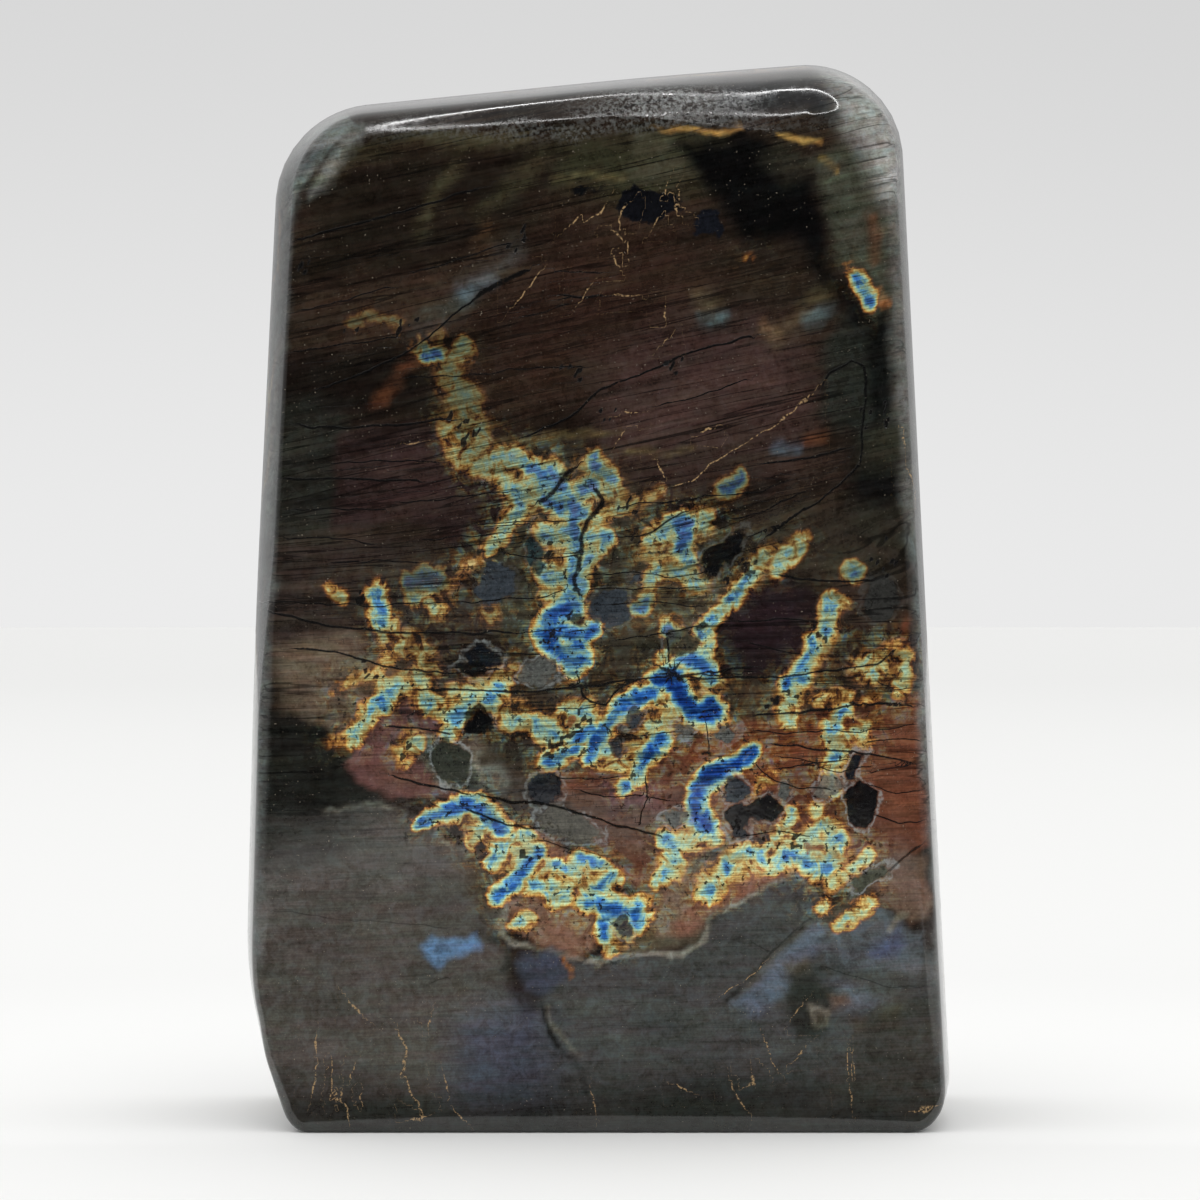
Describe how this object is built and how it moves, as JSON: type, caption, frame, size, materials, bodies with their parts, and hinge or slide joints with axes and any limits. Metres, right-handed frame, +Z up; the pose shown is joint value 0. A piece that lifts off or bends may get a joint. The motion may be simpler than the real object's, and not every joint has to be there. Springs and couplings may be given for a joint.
{
  "type": "labradorite freeform",
  "caption": "Polished freeform of labradorite, an upright slab of stone with rounded edges, sawn flat underneath so that it stands by itself.",
  "frame": {"origin": "middle of the stone's box, on the surface that its flat base stands on", "axes": "+Z up, +X to the right seen from the polished front, +Y from the front towards the back"},
  "size_m": [0.1196, 0.0602, 0.1795],
  "materials": {
    "polished_labradorite": "polished dark grey-green feldspar with a flash of copper, gold, cyan and blue"
  },
  "bodies": {
    "root": {"labradorite_stone": "polished_labradorite"}
  },
  "joints": []
}
